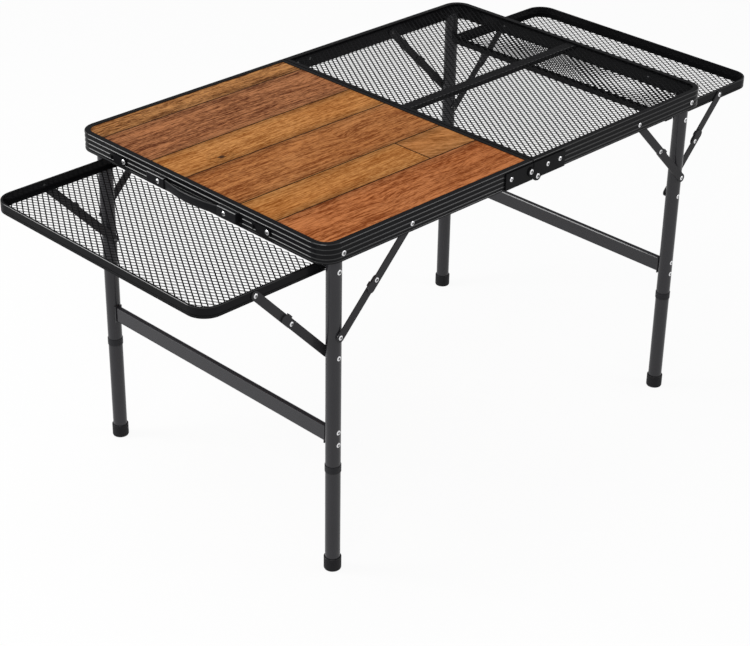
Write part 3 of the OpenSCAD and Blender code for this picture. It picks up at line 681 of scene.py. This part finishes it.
def ease_edges(node, width, shortest):
    source = nodes[node]
    mesh = source.data.copy()
    shape = bmesh.new()
    shape.from_mesh(mesh)
    bmesh.ops.remove_doubles(shape, verts=shape.verts, dist=MERGE_WITHIN)
    bmesh.ops.dissolve_limit(shape, angle_limit=FLAT_WITHIN, verts=shape.verts, edges=shape.edges)
    sharp = [edge for edge in shape.edges if is_sharp(edge, shortest)]
    bmesh.ops.bevel(
        shape, geom=sharp, offset=width, segments=FACES_IN_ROUND, profile=0.5, affect="EDGES"
    )
    shape.to_mesh(mesh)
    shape.free()
    piece = bpy.data.objects.new(node + "_eased", mesh)
    bpy.context.scene.collection.objects.link(piece)
    mesh.materials.clear()
    mesh.materials.append(finish_of(node))
    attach(piece, source["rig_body"])
    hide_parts(node)
    print(piece.name, len(sharp), "edges rounded,", len(mesh.polygons), "faces")


ease_edges("handle_strap", width=0.0009, shortest=0.004)
ease_edges("handle_blocks", width=0.0012, shortest=0.004)
ease_edges("left_crossbar", width=0.0022, shortest=0.100)
ease_edges("right_crossbar", width=0.0022, shortest=0.100)
ease_edges("mesh_stiffener", width=0.0010, shortest=0.100)

# %% [markdown]
# ## Expanded metal
# Expanded metal is one sheet that is slit and pulled open. Its strands stand
# at a slant, all leaning the same way, so one family of strands looks broad
# and the other thin. A texture with holes would vanish at the edge of every
# strand, so each strand is real geometry: Geometry Nodes lay four strands round
# each crossing, drop those outside a rounded outline, and instance a thin bar.

# %% The net's sizes, the inputs of its tree
# All in metres, but for Lean, in radians, and Outer side, 1 or -1: the end of the
# net, along X, whose corners are rounded.
NET_SIZES = {
    "Half X": 0.2,
    "Half Y": 0.2,
    "Corner radius": 0.026,
    "Outer side": 1.0,
    "Short way": 0.01005,
    "Long way": 0.0163,
    "Strand width": 0.0020,
    "Strand thickness": 0.0008,
    "Lean": 0.26,
}


def add_inputs(tree):
    """Make the tree's sockets, and return the identifier of each input."""
    tree.interface.new_socket("Geometry", in_out="OUTPUT", socket_type="NodeSocketGeometry")
    ids = {}
    for name, value in NET_SIZES.items():
        socket = tree.interface.new_socket(name, in_out="INPUT", socket_type="NodeSocketFloat")
        socket.default_value = value
        ids[name] = socket.identifier
    finish = tree.interface.new_socket("Finish", in_out="INPUT", socket_type="NodeSocketMaterial")
    ids["Finish"] = finish.identifier
    return ids


print("a diamond is", NET_SIZES["Short way"], "by", NET_SIZES["Long way"], "m")

# %% Crossings, and what lies past the rim
SPARE_CROSSINGS = 3.0


def grid_of_crossings(g, given):
    """A crossing at every pitch, with a few to spare past the rim."""
    short = given["Short way"]
    long = given["Long way"]
    columns = (2.0 * given["Half X"] / short).ceil() + SPARE_CROSSINGS
    rows = (2.0 * given["Half Y"] / long).ceil() + SPARE_CROSSINGS
    sockets = {
        "Size X": (columns - 1.0) * short,
        "Size Y": (rows - 1.0) * long,
        "Vertices X": columns,
        "Vertices Y": rows,
    }
    return g.node("GeometryNodeMeshGrid", {}, sockets)


def past_the_rim(g, given):
    """1 outside a rectangle whose two corners on the outer side are rounded."""
    where = g.node("GeometryNodeInputPosition")
    x = g.axis("X", where)
    y = g.axis("Y", where)
    radius = given["Corner radius"]
    over_x = abs(x) - (given["Half X"] - radius)
    over_y = abs(y) - (given["Half Y"] - radius)
    is_outer = x * given["Outer side"] > 0.0
    corner_x = over_x.atleast(0.0) * is_outer
    corner_y = over_y.atleast(0.0) * is_outer
    corner = (corner_x * corner_x + corner_y * corner_y).root()
    return (corner - radius).atleast((over_x - radius).atleast(over_y - radius)) > 0.0


# %% The expanded metal tree
# A strand's middle lies this share of the pitch from its crossing, both ways.
QUARTER_PITCH = 0.25


def strand_bar(g, given):
    """A thin bar, a little longer than one side of a diamond."""
    short = given["Short way"]
    long = given["Long way"]
    thickness = given["Strand thickness"]
    reach = (short * short + long * long).root()
    size = g.vector(reach * 0.5 + thickness, given["Strand width"], thickness)
    return g.node("GeometryNodeMeshCube", {}, {"Size": size})


def lay_strands(g, given, offset, turn, crossings, outside, bar):
    """One of the four strands round each crossing."""
    moved = g.node("GeometryNodeSetPosition", {}, {"Geometry": crossings, "Offset": offset})
    chosen = {"Geometry": moved, "Selection": outside}
    kept = g.node("GeometryNodeDeleteGeometry", {"domain": "POINT"}, chosen)
    rotation = g.vector(given["Lean"], 0.0, turn)
    placed = {"Points": kept, "Instance": bar, "Rotation": rotation}
    return g.node("GeometryNodeInstanceOnPoints", {}, placed)


def expanded_metal():
    tree = bpy.data.node_groups.new("expanded_metal", "GeometryNodeTree")
    ids = add_inputs(tree)
    g = Graph(tree)
    given = {name: g.node("NodeGroupInput", out=name) for name in ids}
    short = given["Short way"]
    long = given["Long way"]
    crossings = grid_of_crossings(g, given)
    outside = past_the_rim(g, given)
    bar = strand_bar(g, given)
    angle = long.slope_angle(short)
    strands = []
    for side_x, side_y in ((1, 1), (-1, -1), (1, -1), (-1, 1)):
        offset = g.vector(side_x * QUARTER_PITCH * short, side_y * QUARTER_PITCH * long, 0.0)
        turn = angle if side_x == side_y else math.pi - angle
        strands.append(lay_strands(g, given, offset, turn, crossings, outside, bar))
    joined = g.node("GeometryNodeJoinGeometry", {}, {0: strands})
    real = g.node("GeometryNodeRealizeInstances", {}, {"Geometry": joined})
    sockets = {"Geometry": real, "Material": given["Finish"]}
    finished = g.node("GeometryNodeSetMaterial", {}, sockets)
    g.feed(tree.nodes.new("NodeGroupOutput").inputs[0], finished)
    return tree, ids


net_tree, net_ids = expanded_metal()
print("expanded metal tree", len(net_tree.nodes), "nodes")

# %% [markdown]
# ### Stretch it into the three rims
# Each net takes the place of its plain CAD net: the outline is the CAD box
# less the little that a strand reaches past its middle, so the edge stays
# hidden under the rim. The tree could stay on the object as a modifier, but the
# nets leave this scene as plain meshes, so its result is taken and it goes.

# %% Make the nets
STRAND_REACH_X = 0.0027
STRAND_REACH_Y = 0.0043


def make_net(name, node, body, outer_side, strand_width):
    low, high = (Vector(corner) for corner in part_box(node))
    centre = (low + high) / 2.0
    start = bpy.data.objects.new("net_start", bpy.data.meshes.new("net_start"))
    bpy.context.scene.collection.objects.link(start)
    modifier = start.modifiers.new("expanded metal", "NODES")
    modifier.node_group = net_tree
    modifier[net_ids["Half X"]] = (high.x - low.x) / 2.0 - STRAND_REACH_X
    modifier[net_ids["Half Y"]] = (high.y - low.y) / 2.0 - STRAND_REACH_Y
    modifier[net_ids["Strand width"]] = strand_width
    modifier[net_ids["Outer side"]] = outer_side
    modifier[net_ids["Finish"]] = net_black
    evaluated = start.evaluated_get(bpy.context.evaluated_depsgraph_get())
    mesh = bpy.data.meshes.new_from_object(evaluated)
    bpy.data.objects.remove(start)
    mesh.transform(Matrix.Translation(centre))
    piece = bpy.data.objects.new(name, mesh)
    bpy.context.scene.collection.objects.link(piece)
    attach(piece, body)
    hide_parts(node)
    print(name, len(mesh.polygons), "faces, centre", [round(part, 4) for part in centre])


make_net("mesh_top_expanded_metal", "mesh_deck", "mesh_half", outer_side=1.0, strand_width=0.0025)
make_net(
    "left_shelf_expanded_metal", "left_shelf_mesh", "left_shelf", outer_side=-1.0, strand_width=0.0020
)
make_net(
    "right_shelf_expanded_metal", "right_shelf_mesh", "right_shelf", outer_side=1.0, strand_width=0.0020
)

# %% [markdown]
# ## Floor, light and camera
# The table stands on a plain pale floor in a soft white studio. A catalogue
# picture has a pure white ground, and more light would give it but would bleach
# the wood. So the floor and the world look white only to the camera and in
# reflections, and the floor keeps part of its lit surface for the shadow.

# %% What only the eye and reflections see
def is_seen(graph):
    """1 for rays from the camera, in gloss or through glass; 0 for light itself."""
    seen = graph.node("ShaderNodeLightPath", out="Is Camera Ray")
    for kind in ("Is Glossy Ray", "Is Transmission Ray"):
        seen = seen.atleast(graph.node("ShaderNodeLightPath", out=kind))
    return seen


# %% Floor
FLOOR_HALF = 12.0
FLOOR_PAINT = (0.88, 0.88, 0.88)
FLOOR_WHITENESS = 0.92
WHITE = (1.0, 1.0, 1.0, 1.0)


def make_floor():
    mesh = bpy.data.meshes.new("studio_floor")
    signs = ((-1, -1), (1, -1), (1, 1), (-1, 1))
    corners = [(x * FLOOR_HALF, y * FLOOR_HALF, 0.0) for x, y in signs]
    mesh.from_pydata(corners, [], [(0, 1, 2, 3)])
    floor = bpy.data.objects.new("studio_floor", mesh)
    bpy.context.scene.collection.objects.link(floor)
    paint = Finish("floor_white", FLOOR_PAINT, Roughness=0.9, Specular_IOR_Level=0.1)
    glow = paint.node("ShaderNodeEmission", {}, {"Color": WHITE, "Strength": 1.0})
    lit = Val(paint, paint.shader.outputs[0])
    share = is_seen(paint) * FLOOR_WHITENESS
    both = paint.node("ShaderNodeMixShader", {}, {0: share, 1: lit, 2: glow})
    paint.feed(paint.tree.nodes["Material Output"].inputs["Surface"], both)
    mesh.materials.append(paint.material)
    print(floor.name, 2.0 * FLOOR_HALF, "m square")


make_floor()

# %% World
SKY_LIGHT = 0.46


def make_world():
    world = bpy.data.worlds.new("studio")
    world.use_nodes = True
    bpy.context.scene.world = world
    sky = Graph(world.node_tree)
    background = world.node_tree.nodes["Background"]
    background.inputs["Color"].default_value = WHITE
    sky.feed(background.inputs["Strength"], between(SKY_LIGHT, 1.0, is_seen(sky)))
    print(world.name, "lights at", SKY_LIGHT)


make_world()

# %% [markdown]
# ### Lamps
# Black paint shows its form only by what it mirrors. A tall lamp behind the
# table's left end lies where the ribs of the rails mirror it to the camera, and
# draws the thin bright lines on them. The other four are soft fill. Each lamp's
# energy is worked out from the light that it has to give at the table.

# %% Soft lamps
TABLE_CENTRE = Vector((0.0, 0.0, 0.45))
LAMP_DISTANCE = 3.6


def soft_lamp(name, direction, width, height, level):
    """An area lamp that gives a facing white surface at the table the given level."""
    lamp = bpy.data.lights.new(name, "AREA")
    lamp.shape = "RECTANGLE"
    lamp.size = width
    lamp.size_y = height
    lamp.energy = level * math.pi ** 2 * LAMP_DISTANCE * LAMP_DISTANCE
    away = Vector(direction).normalized() * LAMP_DISTANCE
    lamp_object = bpy.data.objects.new(name, lamp)
    lamp_object.location = TABLE_CENTRE + away
    lamp_object.rotation_euler = away.to_track_quat("Z", "Y").to_euler()
    bpy.context.scene.collection.objects.link(lamp_object)
    print(name, round(lamp.energy, 1), "W")


soft_lamp("back_left", (-0.70, 0.62, 0.32), width=1.3, height=2.0, level=0.55)
soft_lamp("overhead", (-0.15, 0.25, 0.95), width=1.6, height=1.6, level=0.22)
soft_lamp("front_left", (-0.75, -0.45, 0.50), width=1.4, height=1.4, level=0.22)
soft_lamp("front_right", (0.50, -0.80, 0.42), width=1.4, height=1.4, level=0.16)
soft_lamp("right", (0.62, -0.42, 0.67), width=0.9, height=0.7, level=0.04)

# %% [markdown]
# ### Camera
# The camera stands in front of the wood half's corner and looks down by about
# thirty degrees, from far away with a long lens, as a catalogue picture does.
# A near camera with a short lens would swell the near shelf and splay the legs.

# %% Camera
CAMERA_PLACE = (-2.1880, -2.1266, 1.8917)
AZIMUTH = math.radians(-45.104)
ELEVATION = math.radians(29.277)
ROLL = math.radians(0.962)
FOCAL_PIXELS = 1928.8
IMAGE_WIDTH = 750
SENSOR_MM = 36.0


def camera_turn():
    """The camera's turn from its azimuth, elevation and roll."""
    back_x = math.sin(AZIMUTH) * math.cos(ELEVATION)
    back_y = -math.cos(AZIMUTH) * math.cos(ELEVATION)
    back = Vector((back_x, back_y, math.sin(ELEVATION)))
    level = Vector((0, 0, 1)).cross(back).normalized()
    upright = back.cross(level)
    right = level * math.cos(ROLL) + upright * math.sin(ROLL)
    up = upright * math.cos(ROLL) - level * math.sin(ROLL)
    return Matrix((right, up, back)).transposed()


def make_camera():
    data = bpy.data.cameras.new("camera")
    data.sensor_width = SENSOR_MM
    data.lens = FOCAL_PIXELS * SENSOR_MM / IMAGE_WIDTH
    camera = bpy.data.objects.new("camera", data)
    camera.matrix_world = Matrix.Translation(CAMERA_PLACE) @ camera_turn().to_4x4()
    bpy.context.scene.collection.objects.link(camera)
    bpy.context.scene.camera = camera
    print("lens", round(data.lens, 2), "mm")


make_camera()
bpy.context.scene.view_settings.view_transform = "Standard"

# %% [markdown]
# ## Dress and finish
# The last step gives each CAD node its finish, by its own material slots, so
# that no mesh is touched.

# %% Dress the nodes
for node_name, node_object in nodes.items():
    for place in node_object.material_slots:
        place.material = finish_of(node_name)
print("dressed", len(nodes), "nodes")
